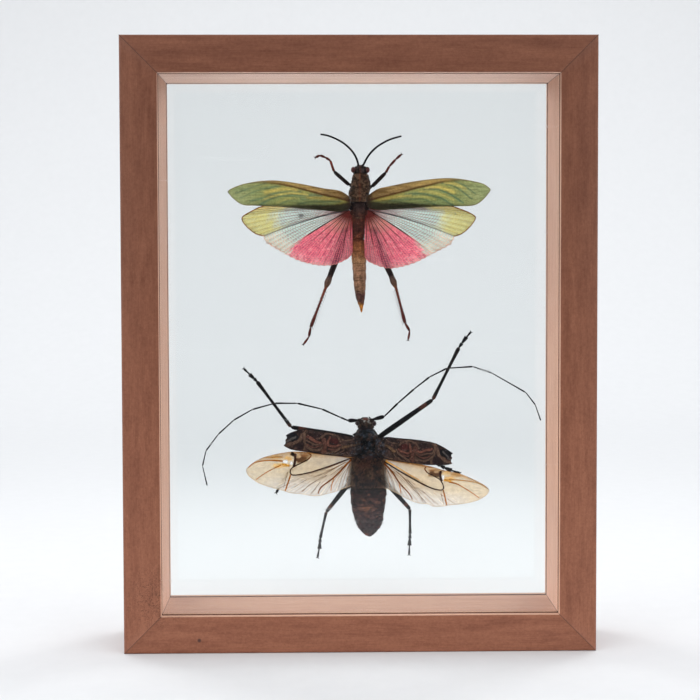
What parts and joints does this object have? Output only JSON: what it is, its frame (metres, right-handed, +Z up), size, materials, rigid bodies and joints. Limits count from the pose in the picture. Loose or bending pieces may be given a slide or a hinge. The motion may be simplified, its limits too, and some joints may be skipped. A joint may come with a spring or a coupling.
{
  "type": "framed insect display",
  "caption": "Standing wooden double-glass frame with a pink-winged grasshopper above a long-horned beetle, wings spread, seen from both sides.",
  "frame": {"origin": "middle of the frame's underside, where it stands", "axes": "+X to the right seen from the front, +Z up, the front faces -Y"},
  "size_m": [0.254, 0.05, 0.33],
  "materials": {
    "wood": "satin stain, fine straight grain",
    "glass": "clear float glass, polished",
    "glue": "clear hardened adhesive",
    "grasshopper_body": "dry granular chitin, brown",
    "grasshopper_limb": "dry chitin, dark red-brown",
    "tegmen": "leathery veined wing, green and ochre",
    "fan": "pleated translucent membrane, pink to pale green",
    "beetle_body": "dark chitin with short fine hair",
    "beetle_limb": "near-black chitin with brown bands",
    "elytron": "velvety near-black with olive and red-brown bands",
    "membrane": "translucent cream membrane with amber veins"
  },
  "bodies": {
    "root": {"back_glass": "glass", "beetle_abdomen": "beetle_body", "beetle_antenna_left": "beetle_limb", "beetle_antenna_right": "beetle_limb", "beetle_elytron_left": "elytron", "beetle_elytron_right": "elytron", "beetle_fore_leg_left": "beetle_limb", "beetle_fore_leg_right": "beetle_limb", "beetle_glue": "glue", "beetle_head": "beetle_body", "beetle_hind_leg_left": "beetle_limb", "beetle_hind_leg_right": "beetle_limb", "beetle_hind_wing_left": "membrane", "beetle_hind_wing_right": "membrane", "beetle_mid_leg_left": "beetle_limb", "beetle_mid_leg_right": "beetle_limb", "beetle_pronotum": "beetle_body", "beetle_thorax": "beetle_body", "bottom_rail": "wood", "front_glass": "glass", "grasshopper_abdomen": "grasshopper_body", "grasshopper_antenna_left": "grasshopper_limb", "grasshopper_antenna_right": "grasshopper_limb", "grasshopper_fore_leg_left": "grasshopper_limb", "grasshopper_fore_leg_right": "grasshopper_limb", "grasshopper_glue": "glue", "grasshopper_head": "grasshopper_body", "grasshopper_hind_leg_left": "grasshopper_limb", "grasshopper_hind_leg_right": "grasshopper_limb", "grasshopper_hind_wing_left": "fan", "grasshopper_hind_wing_right": "fan", "grasshopper_mid_leg_left": "grasshopper_limb", "grasshopper_mid_leg_right": "grasshopper_limb", "grasshopper_pronotum": "grasshopper_body", "grasshopper_tegmen_left": "tegmen", "grasshopper_tegmen_right": "tegmen", "grasshopper_thorax": "grasshopper_body", "left_stile": "wood", "right_stile": "wood", "top_rail": "wood"}
  },
  "joints": []
}
